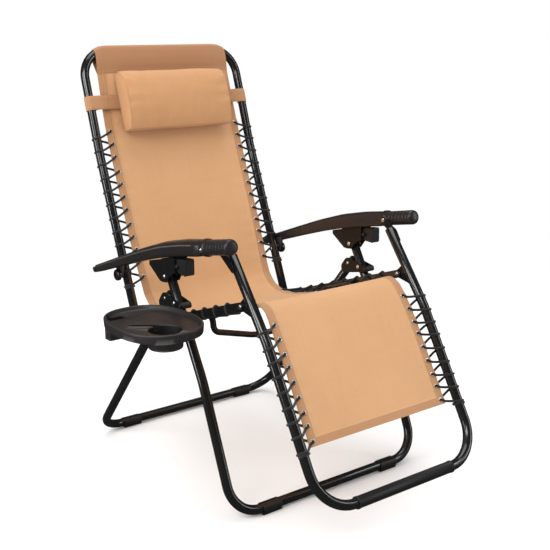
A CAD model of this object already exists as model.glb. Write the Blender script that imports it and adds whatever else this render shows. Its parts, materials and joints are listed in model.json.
"""Folding reclining lounge chair: tube frame, laced mesh sling, armrests, pillow and side tray.

Metres, +Z up. X runs across the chair (left side +X), -Y is the front with the leg rest, +Y the
back. Parts are built about the chair's centre plane and moved into the row frame at the end.
"""

import json
import math

import bmesh
import bpy
import numpy as np
from mathutils import Matrix, Vector, noise

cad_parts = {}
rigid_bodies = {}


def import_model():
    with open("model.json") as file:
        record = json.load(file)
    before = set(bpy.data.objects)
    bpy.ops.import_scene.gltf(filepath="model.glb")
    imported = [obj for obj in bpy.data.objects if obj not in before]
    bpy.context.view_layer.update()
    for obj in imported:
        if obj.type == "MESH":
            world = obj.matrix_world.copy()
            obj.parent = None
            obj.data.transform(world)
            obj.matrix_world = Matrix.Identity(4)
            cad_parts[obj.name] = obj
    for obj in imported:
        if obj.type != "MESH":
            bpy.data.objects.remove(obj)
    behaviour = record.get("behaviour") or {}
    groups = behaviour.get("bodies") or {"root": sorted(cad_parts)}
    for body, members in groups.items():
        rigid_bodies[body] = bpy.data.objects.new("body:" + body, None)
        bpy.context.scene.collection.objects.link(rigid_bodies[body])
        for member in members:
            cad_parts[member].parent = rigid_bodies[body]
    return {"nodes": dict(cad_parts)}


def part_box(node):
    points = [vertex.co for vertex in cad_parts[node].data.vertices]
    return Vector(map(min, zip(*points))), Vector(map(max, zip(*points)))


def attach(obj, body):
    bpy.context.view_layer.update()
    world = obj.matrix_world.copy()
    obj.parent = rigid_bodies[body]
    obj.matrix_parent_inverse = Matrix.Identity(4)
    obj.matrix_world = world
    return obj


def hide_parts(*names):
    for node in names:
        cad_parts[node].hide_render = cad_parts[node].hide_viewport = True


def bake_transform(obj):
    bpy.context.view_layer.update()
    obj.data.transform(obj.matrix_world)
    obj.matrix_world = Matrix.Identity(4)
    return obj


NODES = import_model()["nodes"]
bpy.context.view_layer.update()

# ------------------------------------------------------------------ driving sizes
# from the centre plane to the row frame, whose origin is on the floor under the overall box
SHIFT = Vector((0.0978, 0.0852, 0.0))
SIDES = (("left", 1), ("right", -1))
TUBE_R = 0.012
X_LEG, X_BACK, X_REST, X_ARM = 0.298, 0.253, 0.248, 0.284    # half spacings across the chair
BEND_FRONT, BEND_REAR, BEND_BACK, BEND_REST = 0.075, 0.069, 0.078, 0.094    # corner radii
RAIL_HALF_X, RAIL_HALF_N = 0.0065, 0.0110    # seat rail half thickness and half depth

# side-view points and lines, (y, z)
GROUND_Z = 0.015
SEAT_PIVOT = (-0.0068, 0.4197)
RAIL = [(-0.3160, 0.5220), (0.1506, 0.3676)]
ARM_FRONT, ARM_REAR = (-0.2400, 0.6500), (0.2266, 0.4956)
FRONT_LEG = [(-0.0773, 0.5730), (-0.2170, 0.3220), (-0.341, GROUND_Z)]
REAR_LEG = [(-0.0862, 0.5120), (0.341, GROUND_Z)]
BACK = [(0.1710, 0.3520), (0.3460, 0.8030), (0.4350, 1.0850)]
LEG_REST = [(-0.2790, 0.6340), (-0.4110, 0.4558), (-0.6072, 0.1159)]


# ------------------------------------------------------------------ node materials
class Net:
    """A small wrapper for building node trees. Sockets and plain values mix freely as inputs."""

    def __init__(self, owner):
        owner.use_nodes = True
        self.tree = owner.node_tree
        self.tree.nodes.clear()

    def put(self, socket, value):
        if isinstance(value, bpy.types.NodeSocket):
            self.tree.links.new(value, socket)
            return
        if isinstance(value, (tuple, list)) and len(value) == 3 and socket.type == "RGBA":
            value = (*value, 1.0)
        socket.default_value = value

    def node(self, kind, inputs=None, **settings):
        """A new node; inputs maps sockets to values, and None leaves a socket alone."""
        made = self.tree.nodes.new("ShaderNode" + kind)
        for key, value in settings.items():
            setattr(made, key, value)
        for key, value in (inputs or {}).items():
            if value is not None:
                self.put(made.inputs[key], value)
        return made


class Material(Net):
    """A material with a Principled shader."""

    def __init__(self, name):
        self.material = bpy.data.materials.new(name)
        super().__init__(self.material)
        self.out = self.node("OutputMaterial")
        self.bsdf = self.node("BsdfPrincipled")
        self.put(self.out.inputs[0], self.bsdf.outputs[0])

    def set(self, **values):
        """Principled inputs by name, with underscores for spaces."""
        for key, value in values.items():
            self.put(self.bsdf.inputs[key.replace("_", " ")], value)

    def math(self, operation, first, second=None):
        return self.node("Math", {0: first, 1: second}, operation=operation).outputs[0]

    def mul(self, first, second):
        return self.math("MULTIPLY", first, second)

    def add(self, first, second):
        return self.math("ADD", first, second)

    def coord(self, kind="Object"):
        return self.node("TexCoord").outputs[kind]

    def split(self, vector):
        return self.node("SeparateXYZ", {0: vector}).outputs

    def scaled(self, vector, scale):
        return self.node("Mapping", {0: vector, "Scale": scale}).outputs[0]

    def noise(self, vector, scale, detail=2.0, rough=0.5):
        return self.node("TexNoise", {"Vector": vector, "Scale": scale, "Detail": detail,
                                      "Roughness": rough}).outputs[0]

    def voronoi(self, vector, scale):
        return self.node("TexVoronoi", {"Vector": vector, "Scale": scale}).outputs[0]

    def remap(self, value, source, to=(0.0, 1.0)):
        """Clamped linear map from the source range to another."""
        inputs = dict(enumerate((value, *source, *to)))
        return self.node("MapRange", inputs, clamp=True).outputs[0]

    def mix(self, factor, first, second):
        return self.node("Mix", {0: factor, 6: first, 7: second}, data_type="RGBA").outputs[2]

    def bump(self, height, strength, distance, normal=None):
        return self.node("Bump", {"Strength": strength, "Distance": distance, "Height": height,
                                  "Normal": normal}).outputs[0]

    def edges(self, low, high):
        """A mask of the convex edges."""
        pointiness = self.node("NewGeometry").outputs["Pointiness"]
        return self.remap(pointiness, (low, high))


def paint(name, specular, coat, worn=False):
    """Glossy black powder coat with a little orange peel, dust and optional edge wear."""
    net = Material(name)
    coord = net.coord()
    smudge = net.noise(coord, scale=5.0, detail=2.0, rough=0.45)
    peel = net.noise(coord, scale=55.0, detail=1.0)
    dust = net.remap(net.noise(coord, scale=260.0, detail=3.0, rough=0.7), (0.70, 0.82))
    color = net.mix(smudge, (0.0045, 0.0045, 0.0050), (0.0095, 0.0092, 0.0092))
    color = net.mix(net.mul(dust, 0.08), color, (0.020, 0.0195, 0.019))
    if worn:
        wear = net.mul(net.edges(0.56, 0.70), 0.35)
        color = net.mix(wear, color, (0.045, 0.043, 0.041))
    net.set(Base_Color=color, Roughness=net.remap(smudge, (0.3, 0.75), to=(0.17, 0.23)),
            Normal=net.bump(peel, strength=0.006, distance=0.0002),
            Specular_IOR_Level=specular, Coat_Weight=coat, Coat_Roughness=0.10)
    return net.material


def zinc():
    """Zinc plate: cloudy, with fine scratches."""
    net = Material("zinc_plate")
    coord = net.coord()
    cloud = net.noise(coord, scale=60.0, detail=4.0, rough=0.6)
    scratch = net.noise(net.scaled(coord, (900.0, 120.0, 120.0)), scale=1.0, detail=3.0, rough=0.7)
    color = net.mix(cloud, (0.56, 0.55, 0.52), (0.78, 0.77, 0.75))
    net.set(Base_Color=color, Metallic=1.0,
            Roughness=net.remap(scratch, (0.3, 0.7), to=(0.18, 0.36)),
            Normal=net.bump(scratch, strength=0.08, distance=0.0002))
    return net.material


def plastic(name, dark, light, edge, rough, grain, strength=0.22):
    """Moulded plastic: fine spark-eroded grain, slow tone drift, polished edges."""
    net = Material(name)
    coord = net.coord()
    slow = net.noise(coord, scale=14.0, detail=3.0, rough=0.55)
    fine = net.noise(coord, scale=grain, detail=2.0, rough=0.6)
    cell = net.voronoi(coord, scale=grain * 0.7)
    height = net.add(net.mul(fine, 0.6), net.mul(cell, 0.4))
    color = net.mix(slow, dark, light)
    color = net.mix(net.mul(fine, 0.18), color, tuple(2.2 * value for value in light))
    color = net.mix(net.mul(net.edges(0.53, 0.64), 0.5), color, edge)
    net.set(Base_Color=color,
            Roughness=net.add(net.remap(slow, (0.3, 0.7), to=(-0.05, 0.06)), rough),
            Normal=net.bump(height, strength, distance=0.00035), Specular_IOR_Level=0.42)
    return net.material


def weave(name, light, deep, through, glow, pitch=0.0013):
    """Woven cloth of over-and-under yarns at the given pitch, on UVs in metres.

    through sets how open the mesh is, glow how much light passes through the yarn.
    """
    net = Material(name)
    coord = net.coord("UV")
    across, along = net.split(coord)[:2]
    warp_wave = net.math("SINE", net.mul(across, math.pi / pitch))
    weft_wave = net.math("SINE", net.mul(along, math.pi / pitch))
    over = net.math("GREATER_THAN", net.mul(warp_wave, weft_wave), 0.0)
    warp_top = net.math("ABSOLUTE", warp_wave)
    weft_top = net.math("ABSOLUTE", weft_wave)
    height = net.add(net.mul(over, warp_top),
                     net.mul(net.math("SUBTRACT", 1.0, over), weft_top))
    # slubs along each yarn direction, and slow fading
    warp = net.noise(net.scaled(coord, (420.0, 7.0, 7.0)), scale=1.0, detail=3.0, rough=0.6)
    weft = net.noise(net.scaled(coord, (7.0, 420.0, 7.0)), scale=1.0, detail=3.0, rough=0.6)
    slow = net.noise(coord, scale=5.0, detail=3.0, rough=0.55)
    tone = net.add(net.mul(warp, 0.45), net.mul(weft, 0.35))
    tone = net.add(tone, net.mul(slow, 0.5))
    tone = net.add(tone, net.mul(height, 0.35))
    color = net.mix(net.remap(tone, (0.45, 1.25)), deep, light)
    yarns = net.bump(height, strength=0.35, distance=0.0003)
    crumple = net.noise(coord, scale=38.0, detail=3.0, rough=0.6)
    normal = net.bump(crumple, strength=0.10, distance=0.0012, normal=yarns)
    net.set(Base_Color=color, Roughness=0.78, Normal=normal, Specular_IOR_Level=0.22,
            Sheen_Weight=0.22, Sheen_Roughness=0.45, Sheen_Tint=(1.0, 0.90, 0.78))
    if through > 0:
        opaque = (1.0 - through * 1.7, 1.0 - through * 0.45)
        net.set(Alpha=net.remap(height, (0.0, 1.0), to=opaque))
    if glow > 0:
        lit = net.node("BsdfTranslucent", {"Color": color}).outputs[0]
        mixed = net.node("MixShader", {0: glow, 1: net.bsdf.outputs[0], 2: lit})
        net.put(net.out.inputs[0], mixed.outputs[0])
    return net.material


def braid():
    """Braided sheath of an elastic cord; U runs round the cord, V along it, in metres."""
    net = Material("elastic_cord_braid")
    coord = net.coord("UV")
    around, along = net.split(coord)[:2]
    strands = [net.math("SINE", net.math(slant, net.mul(around, 2 * math.pi / 0.0036),
                                         net.mul(along, 2 * math.pi / 0.0030)))
               for slant in ("ADD", "SUBTRACT")]
    height = net.math("MAXIMUM", *strands)
    fuzz = net.noise(coord, scale=900.0)
    color = net.mix(net.remap(height, (-0.2, 1.0)), (0.0035, 0.0035, 0.004), (0.016, 0.0155, 0.016))
    net.set(Base_Color=color, Roughness=net.remap(fuzz, (0.3, 0.7), to=(0.55, 0.75)),
            Normal=net.bump(height, strength=0.6, distance=0.0004),
            Sheen_Weight=0.15, Specular_IOR_Level=0.3)
    return net.material


def sewing_thread():
    net = Material("sewing_thread")
    twist = net.noise(net.coord(), scale=700.0)
    net.set(Base_Color=net.mix(twist, (0.40, 0.22, 0.11), (0.62, 0.38, 0.21)), Roughness=0.6,
            Normal=net.bump(twist, strength=0.4, distance=0.0002), Sheen_Weight=0.2)
    return net.material


PAINT = paint("frame_paint_gloss", specular=0.60, coat=0.315)
PLATE = paint("bracket_paint", specular=0.20, coat=0.035, worn=True)
ZINC = zinc()
ARM_PLASTIC = plastic("armrest_plastic", dark=(0.0100, 0.0082, 0.0082),
                      light=(0.0165, 0.0136, 0.0136), edge=(0.190, 0.165, 0.160),
                      rough=0.34, grain=1200.0)
ARM_RIDGE = plastic("armrest_ridge_rubbed", dark=(0.0480, 0.0420, 0.0410),
                    light=(0.0800, 0.0710, 0.0700), edge=(0.190, 0.165, 0.160),
                    rough=0.24, grain=1200.0, strength=0.08)
BLACK_PLASTIC = plastic("black_plastic_parts", dark=(0.0060, 0.0056, 0.0056),
                        light=(0.0110, 0.0104, 0.0104), edge=(0.03, 0.029, 0.028),
                        rough=0.46, grain=1500.0)
WELL_PLASTIC = plastic("tray_well_plastic", dark=(0.0016, 0.0014, 0.0014),
                       light=(0.0028, 0.0025, 0.0025), edge=(0.004, 0.0036, 0.0036),
                       rough=0.60, grain=1000.0, strength=0.15)
TRAY_PLASTIC = plastic("tray_plastic_grain", dark=(0.0120, 0.0104, 0.0106),
                       light=(0.0190, 0.0166, 0.0168), edge=(0.150, 0.135, 0.132),
                       rough=0.44, grain=1000.0, strength=0.30)
CLOTH = weave("sling_mesh_cloth", light=(0.690, 0.405, 0.208), deep=(0.560, 0.310, 0.150),
              through=0.09, glow=0.16)
HEM = weave("sling_hem_cloth", light=(0.480, 0.255, 0.127), deep=(0.385, 0.198, 0.096),
            through=0.02, glow=0.07)
BAND_CLOTH = weave("sling_band_cloth", light=(0.395, 0.196, 0.094), deep=(0.315, 0.151, 0.071),
                   through=0.02, glow=0.05)
PILLOW_CLOTH = weave("pillow_cloth", light=(0.500, 0.262, 0.122), deep=(0.405, 0.205, 0.092),
                     through=0.0, glow=0.0, pitch=0.0011)
STRAP_CLOTH = weave("elastic_strap_cloth", light=(0.420, 0.215, 0.105),
                    deep=(0.320, 0.162, 0.078), through=0.0, glow=0.0, pitch=0.0016)
CORD = braid()
THREAD = sewing_thread()


# ------------------------------------------------------------------ mesh helpers
def new_object(name, data):
    piece = bpy.data.objects.new(name, data)
    bpy.context.scene.collection.objects.link(piece)
    return piece


def smooth(mesh, sharp):
    """Smooth shading, with edges sharper than the given degrees left hard."""
    mesh.shade_smooth()
    if sharp:
        mesh.set_sharp_from_angle(angle=math.radians(sharp))


def make(name, verts, faces, materials, uvs=None, slots=None, sharp=None):
    """An object from lists; uvs are per face corner, slots are material indices per face."""
    mesh = bpy.data.meshes.new(name)
    mesh.from_pydata([tuple(vert) for vert in verts], [], faces)
    for material in materials:
        mesh.materials.append(material)
    if uvs is not None:
        layer = mesh.uv_layers.new(name="UVMap")
        layer.data.foreach_set("uv", np.asarray(uvs, np.float32).ravel())
    if slots is not None:
        mesh.polygons.foreach_set("material_index", np.asarray(slots, np.int32))
    smooth(mesh, sharp)
    mesh.update()
    return new_object(name, mesh)


def to_mesh(name, solid):
    """A mesh from a bmesh, faces turned outward."""
    bmesh.ops.recalc_face_normals(solid, faces=solid.faces)
    mesh = bpy.data.meshes.new(name)
    solid.to_mesh(mesh)
    solid.free()
    return mesh


def from_bmesh(name, solid, material, sharp=None):
    mesh = to_mesh(name, solid)
    mesh.materials.append(material)
    smooth(mesh, sharp)
    return new_object(name, mesh)


def face_outward(piece):
    solid = bmesh.new()
    solid.from_mesh(piece.data)
    bmesh.ops.recalc_face_normals(solid, faces=solid.faces)
    solid.to_mesh(piece.data)
    solid.free()


def bake(piece):
    """Replace an object's mesh by its evaluated mesh, with no modifiers left."""
    bpy.context.view_layer.update()
    graph = bpy.context.evaluated_depsgraph_get()
    mesh = bpy.data.meshes.new_from_object(piece.evaluated_get(graph),
                                           preserve_all_data_layers=True, depsgraph=graph)
    piece.modifiers.clear()
    old = piece.data
    piece.data = mesh
    bpy.data.meshes.remove(old)


def boolean(piece, operation, solid):
    tool = new_object("tool", to_mesh("tool", solid))
    modifier = piece.modifiers.new("b", "BOOLEAN")
    modifier.operation = operation
    modifier.solver = "EXACT"
    modifier.object = tool
    bake(piece)
    bpy.data.objects.remove(tool, do_unlink=True)


def rounded(points, radii, steps):
    """A polyline with its inner corners replaced by arcs, one radius and step count each."""
    points = [Vector(point) for point in points]
    out = [points[0]]
    for i, (radius, count) in enumerate(zip(radii, steps), 1):
        corner = points[i]
        back = (points[i - 1] - corner).normalized()
        ahead = (points[i + 1] - corner).normalized()
        angle = back.angle(ahead)
        cut = radius / math.tan(angle / 2)
        centre = corner + (back + ahead).normalized() * (radius / math.sin(angle / 2))
        first = corner + back * cut - centre
        last = corner + ahead * cut - centre
        total = first.angle(last)
        axis = first.cross(last).normalized()
        for k in range(count + 1):
            out.append(centre + Matrix.Rotation(total * k / count, 3, axis) @ first)
    out.append(points[-1])
    return out


def u_path(line, half, corner, mid=None):
    """Up one side of a U frame and down the other; mid is the radius of a bend in each side."""
    left = [(-half, y, z) for y, z in line]
    right = [(half, y, z) for y, z in reversed(line)]
    mids = [mid] if mid else []
    mid_steps = [8] * len(mids)
    return rounded(left + right, mids + [corner, corner] + mids, mid_steps + [16, 16] + mid_steps)


def spline_point(p0, p1, p2, p3, t):
    """Catmull-Rom point between p1 and p2."""
    return 0.5 * ((2 * p1) + (p2 - p0) * t + (2 * p0 - 5 * p1 + 4 * p2 - p3) * t * t
                  + (3 * p1 - p0 - 3 * p2 + p3) * t ** 3)


def catmull(points, per):
    """A smooth curve through points, `per` steps between neighbours."""
    points = [Vector(point) for point in points]
    points = [points[0] * 2 - points[1]] + points + [points[-1] * 2 - points[-2]]
    out = [spline_point(*points[i - 1:i + 3], k / per)
           for i in range(1, len(points) - 2) for k in range(per)]
    return out + [points[-2]]


def running_length(points):
    """Distance along a polyline at each of its points."""
    out = [0.0]
    for start, end in zip(points[:-1], points[1:]):
        out.append(out[-1] + (end - start).length)
    return out


def tangents(points):
    last = len(points) - 1
    return [(points[min(i + 1, last)] - points[max(i - 1, 0)]).normalized()
            for i in range(last + 1)]


def tube_faces(rings, sides, start=0):
    """Quads between successive rings of vertices, then the two end caps."""
    faces = []
    for i in range(rings - 1):
        for k in range(sides):
            here = start + i * sides + k
            beside = start + i * sides + (k + 1) % sides
            faces.append((here, beside, beside + sides, here + sides))
    last = start + (rings - 1) * sides
    faces.append(tuple(start + k for k in reversed(range(sides))))
    faces.append(tuple(last + k for k in range(sides)))
    return faces


def sweep(name, path, radius, sides, material, cap=0.0):
    """A round bar along a path, with UVs in metres and softly rounded ends."""
    path = [Vector(point) for point in path]
    radii = [radius] * len(path)
    if cap > 0:
        start_out = (path[0] - path[1]).normalized()
        end_out = (path[-1] - path[-2]).normalized()
        for reach, shrink in ((0.45, 0.93), (0.85, 0.62), (1.0, 0.22)):
            path.insert(0, path[0] + start_out * cap * reach * 0.5)
            path.append(path[-1] + end_out * cap * reach * 0.5)
            radii = [radius * shrink] + radii + [radius * shrink]
    along = tangents(path)
    side = Vector((1, 0, 0)) if abs(along[0].x) < 0.9 else Vector((0, 1, 0))
    side = (side - along[0] * side.dot(along[0])).normalized()
    verts = []
    for i, (point, tangent, size) in enumerate(zip(path, along, radii)):
        if i:                                   # carry the section along without twist
            side = along[i - 1].rotation_difference(tangent) @ side
            side = (side - tangent * side.dot(tangent)).normalized()
        up = tangent.cross(side)
        for k in range(sides):
            angle = 2 * math.pi * k / sides
            verts.append(point + side * (size * math.cos(angle)) + up * (size * math.sin(angle)))
    girth = 2 * math.pi * radius
    lengths = running_length(path)
    uvs = []
    for low, high in zip(lengths[:-1], lengths[1:]):
        for k in range(sides):
            u0, u1 = girth * k / sides, girth * (k + 1) / sides
            uvs += [(u0, low), (u1, low), (u1, high), (u0, high)]
    uvs += [(0.0, 0.0)] * (2 * sides)
    return make(name, verts, tube_faces(len(path), sides), [material], uvs)


def lathe_x(name, centre, profile, sides, material, sign=1):
    """Turned about a line parallel to X through centre (y, z); profile is (x, radius)."""
    verts = []
    for x, radius in profile:
        for k in range(sides):
            angle = 2 * math.pi * k / sides
            verts.append((sign * x, centre[0] + radius * math.cos(angle),
                          centre[1] + radius * math.sin(angle)))
    piece = make(name, verts, tube_faces(len(profile), sides), [material], sharp=40.0)
    face_outward(piece)
    return piece


def join(name, pieces):
    """One object from several, keeping each one's materials."""
    verts, faces, uvs, slots, materials = [], [], [], [], []
    has_uv = all(piece.data.uv_layers for piece in pieces)
    for piece in pieces:
        mesh = piece.data
        base = len(verts)
        own_slots = []
        for material in mesh.materials:
            if material not in materials:
                materials.append(material)
            own_slots.append(materials.index(material))
        verts += [tuple(vert.co) for vert in mesh.vertices]
        for face in mesh.polygons:
            faces.append(tuple(base + i for i in face.vertices))
            slots.append(own_slots[face.material_index] if own_slots else 0)
            if has_uv:
                layer = mesh.uv_layers[0].data
                uvs += [tuple(layer[i].uv) for i in face.loop_indices]
        bpy.data.objects.remove(piece, do_unlink=True)
        bpy.data.meshes.remove(mesh)
    return make(name, verts, faces, materials, uvs if has_uv else None, slots, sharp=40.0)


def bridge(solid, rings):
    """Join rings of bmesh vertices with quads and cap both ends."""
    for low, high in zip(rings[:-1], rings[1:]):
        for k in range(len(low)):
            following = (k + 1) % len(low)
            solid.faces.new((low[k], low[following], high[following], high[k]))
    solid.faces.new(rings[0])
    solid.faces.new(rings[-1])


def finish_piece(piece, body, slot, *nodes):
    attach(piece, body)
    if nodes:
        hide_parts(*nodes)


# ------------------------------------------------------------------ tube frames and seat bail
# name, side line, half width, corner radius, radius of the bend in each side, body
FRAMES = [("front_leg", FRONT_LEG, X_LEG, BEND_FRONT, 0.30, "front_legs"),
          ("rear_leg", REAR_LEG, X_LEG, BEND_REAR, None, "rear_legs"),
          ("back", BACK, X_BACK, BEND_BACK, 0.9, "back"),
          ("leg_rest", LEG_REST, X_REST, BEND_REST, 0.30, "rest")]
for stem, line, half, corner, mid, body in FRAMES:
    tube = sweep(stem + "_tube", u_path(line, half, corner, mid), TUBE_R, 40, PAINT, cap=0.004)
    finish_piece(tube, body, "frame_paint", stem + "_frame")

BAIL_X = X_REST - RAIL_HALF_X - 0.0120
BAIL_R = 0.0078
BAIL_DROP_Y = -0.161           # where the bar leaves the rails and turns down
BAIL_LOW_Z = 0.3860
BOSS_R = 0.0105


def seat_bail():
    """Bar on the seat bolts: forward beside the rails, then down and across between them."""
    (front_y, front_z), (rear_y, rear_z) = RAIL
    rail_z = front_z + (rear_z - front_z) / (rear_y - front_y) * (BAIL_DROP_Y - front_y)
    half = [(BAIL_X, *SEAT_PIVOT), (BAIL_X, BAIL_DROP_Y, rail_z - 0.0010),
            (BAIL_X - 0.004, BAIL_DROP_Y, rail_z - 0.052), (0.10, BAIL_DROP_Y, BAIL_LOW_Z)]
    points = [(-x, y, z) for x, y, z in half] + half[::-1]
    path = rounded(points, [0.020, 0.022, 0.16, 0.16, 0.022, 0.020], [8] * 6)
    bail = sweep("seat_bail_bar", path, BAIL_R, 28, PAINT, cap=0.002)
    finish_piece(bail, "seat_bolts", "frame_paint", "seat_cross_bar")
    inner, outer = BAIL_X - 0.0070, BAIL_X + 0.0086
    profile = [(inner, BOSS_R * 0.55), (inner + 0.0004, BOSS_R * 0.84),
               (inner + 0.0016, BOSS_R * 0.96), (inner + 0.0034, BOSS_R),
               (outer - 0.0022, BOSS_R), (outer - 0.0008, BOSS_R * 0.95), (outer, BOSS_R * 0.84)]
    for side, sign in SIDES:
        boss = lathe_x("seat_bail_boss_" + side, SEAT_PIVOT, profile, 36, PAINT, sign)
        finish_piece(boss, "seat_bolts", "frame_paint")


seat_bail()


# ------------------------------------------------------------------ plates and mouldings kept as CAD
def soften(name, material, width, angle):
    """Give a CAD piece its material and rounded edges."""
    piece = NODES[name]
    piece.data.materials.clear()
    piece.data.materials.append(material)
    weld = piece.modifiers.new("weld", "WELD")
    weld.merge_threshold = 0.00002
    flat = piece.modifiers.new("flat", "DECIMATE")
    flat.decimate_type = "DISSOLVE"
    flat.angle_limit = math.radians(1.0)
    bevel = piece.modifiers.new("bevel", "BEVEL")
    bevel.width = width
    bevel.segments = 3
    bevel.limit_method = "ANGLE"
    bevel.angle_limit = math.radians(angle)
    bevel.harden_normals = False


# material, bevel width, least edge angle in degrees, pieces found on both sides
SOFTENED = [(PLATE, 0.0006, 40, ("scissor_bracket_", "back_gusset_", "leg_rest_gusset_",
                                 "leg_rest_ear_", "lock_bracket_")),
            (PAINT, 0.0012, 40, ("seat_rail_",)),
            (BLACK_PLASTIC, 0.0010, 40, ("lock_lever_",)),
            (BLACK_PLASTIC, 0.0007, 50, ("front_foot_pad_", "rear_foot_pad_")),
            (BLACK_PLASTIC, 0.0006, 50, ("seat_spacer_", "fold_stop_"))]
for side, _ in SIDES:
    for material, width, angle, stems in SOFTENED:
        for stem in stems:
            soften(stem + side, material, width, angle)
soften("tray_clip", TRAY_PLASTIC, 0.0009, 40)

# ------------------------------------------------------------------ bolts, rivets and foot grip
# name, body, shank radius
BOLTS = [("scissor_rivet_", "rear_legs", 0.0035), ("rear_leg_rivet_", "rear_legs", 0.0028),
         ("seat_bolt_", "seat_bolts", 0.0035), ("back_bolt_", "back_bolts", 0.0035),
         ("arm_rear_bolt_", "arm_bolts", 0.0035), ("leg_rest_bolt_", "rest_bolts", 0.0035),
         ("lock_bolt_", "lock_bolts", 0.0035), ("arm_front_pin_", "rest", 0.0033)]
# domed head: fractions of its depth and of its radius, from the tip
DOME = [(0.0, 0.30), (0.10, 0.62), (0.30, 0.84), (0.62, 0.96), (1.0, 1.0)]
HEAD_DEPTH, PIN_HEAD_DEPTH = 0.0026, 0.0022
SMALL_HEAD_R = 0.0062          # arm rear bolts and lock bolts
COLLAR_IN, COLLAR_OUT, COLLAR_R = X_LEG + TUBE_R + 0.0003, 0.3140, 0.0130    # on the lock bolts
STEP_X = 1e-5                  # near-square steps in a profile
CAP_IN, CAP_OUT, CAP_R = 0.2750, 0.2856, 0.0155    # black cap on the arm rear bolt
CAP_PROFILE = [
    (CAP_IN, 0.0090), (CAP_IN, CAP_R - 0.0010), (CAP_IN + 0.0004, CAP_R - 0.0002),
    (CAP_IN + 0.0012, CAP_R), (CAP_OUT - 0.0030, CAP_R), (CAP_OUT - 0.0014, CAP_R - 0.0007),
    (CAP_OUT - 0.0004, CAP_R - 0.0022), (CAP_OUT, CAP_R - 0.0046), (CAP_OUT - 0.0001, 0.0064),
    (CAP_OUT - 0.0006, 0.0052), (CAP_OUT - 0.0042, 0.0048), (CAP_OUT - 0.0046, 0.0030)]


def bolt_profile(stem, inner, outer, radius, shank):
    """Profile (x, radius) of a bolt from its inner to its outer end."""
    if stem == "arm_front_pin_":
        head = [(inner + PIN_HEAD_DEPTH * depth, radius * size) for depth, size in DOME]
        return head + [(inner + 0.00225, shank), (outer - 0.0006, shank), (outer, shank * 0.8)]
    if stem in ("arm_rear_bolt_", "lock_bolt_"):
        radius = SMALL_HEAD_R
    profile = [(inner + HEAD_DEPTH * depth, radius * size) for depth, size in DOME]
    profile.append((inner + HEAD_DEPTH + STEP_X, shank))
    if stem == "arm_rear_bolt_":                # its outer end is inside the cap
        return profile + [(outer - 0.0100, shank), (outer - 0.0098, shank * 0.9)]
    if stem == "lock_bolt_":
        profile += [(COLLAR_IN, shank), (COLLAR_IN + STEP_X, COLLAR_R - 0.0006),
                    (COLLAR_IN + 0.0006, COLLAR_R), (COLLAR_OUT - 0.0006, COLLAR_R),
                    (COLLAR_OUT - STEP_X, COLLAR_R - 0.0006), (COLLAR_OUT, shank)]
    profile.append((outer - HEAD_DEPTH - STEP_X, shank))
    return profile + [(outer - HEAD_DEPTH * depth, radius * size) for depth, size in DOME[::-1]]


def bolt(stem, body, shank, side, sign):
    low, high = (Vector(corner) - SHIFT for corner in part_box(stem + side))
    centre = ((low.y + high.y) / 2, (low.z + high.z) / 2)
    inner, outer = sorted((sign * low.x, sign * high.x))
    profile = bolt_profile(stem, inner, outer, (high.z - low.z) / 2, shank)
    turned = lathe_x(stem + side + "_turned", centre, profile, 28, ZINC, sign)
    finish_piece(turned, body, "zinc_hardware", stem + side)
    if stem == "arm_rear_bolt_":
        cap = lathe_x("arm_pivot_cap_" + side, centre, CAP_PROFILE, 44, PAINT, sign)
        finish_piece(cap, body, "frame_paint")


for stem, body, shank in BOLTS:
    for side, sign in SIDES:
        bolt(stem, body, shank, side, sign)

# plastic sleeve on the foot bar, with a lip at each end
GRIP_END = [(-0.1520, 0.0128), (-0.1519, 0.0146), (-0.1500, 0.0151), (-0.1470, 0.0148),
            (-0.1460, 0.0141)]
grip = lathe_x("foot_bar_grip", LEG_REST[-1], GRIP_END + [(-x, r) for x, r in GRIP_END[::-1]], 40,
               BLACK_PLASTIC)
finish_piece(grip, "rest", "black_plastic", "foot_bar_sleeve")

# ------------------------------------------------------------------ armrests
# stations front to rear: y, centre z, half height, half width, roundness (1 is a round grip)
ARM = np.array([
    (-0.3350, 0.6692, 0.0050, 0.0050, 1), (-0.3345, 0.6691, 0.0100, 0.0100, 1),
    (-0.3330, 0.6688, 0.0145, 0.0145, 1), (-0.3300, 0.6682, 0.0176, 0.0174, 1),
    (-0.3240, 0.6672, 0.0189, 0.0187, 1), (-0.3000, 0.6630, 0.0186, 0.0184, 1),
    (-0.2700, 0.6577, 0.0186, 0.0184, 1), (-0.2440, 0.6530, 0.0186, 0.0185, 1),
    (-0.2405, 0.6522, 0.0192, 0.0190, 1), (-0.2390, 0.6520, 0.0212, 0.0202, 1),
    (-0.2370, 0.6516, 0.0216, 0.0205, 1), (-0.2280, 0.6500, 0.0216, 0.0206, 1),
    (-0.2262, 0.6496, 0.0212, 0.0203, 1), (-0.2245, 0.6494, 0.0192, 0.0200, 0.8),
    (-0.2200, 0.6485, 0.0194, 0.0212, 0.35), (-0.2120, 0.6474, 0.0198, 0.0225, 0),
    (-0.1500, 0.6375, 0.0200, 0.0250, 0), (-0.0600, 0.6185, 0.0195, 0.0255, 0),
    (0.0400, 0.5905, 0.0172, 0.0240, 0), (0.1400, 0.5585, 0.0146, 0.0210, 0),
    (0.2400, 0.5255, 0.0124, 0.0185, 0), (0.3150, 0.5008, 0.0110, 0.0168, 0),
    (0.3290, 0.4962, 0.0106, 0.0160, 0), (0.3345, 0.4945, 0.0094, 0.0142, 0),
    (0.3360, 0.4940, 0.0060, 0.0100, 0)])
GRIP_LAST, SCULPT_FIRST, SCULPT_LAST = 13, 15, 21    # station indices
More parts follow.
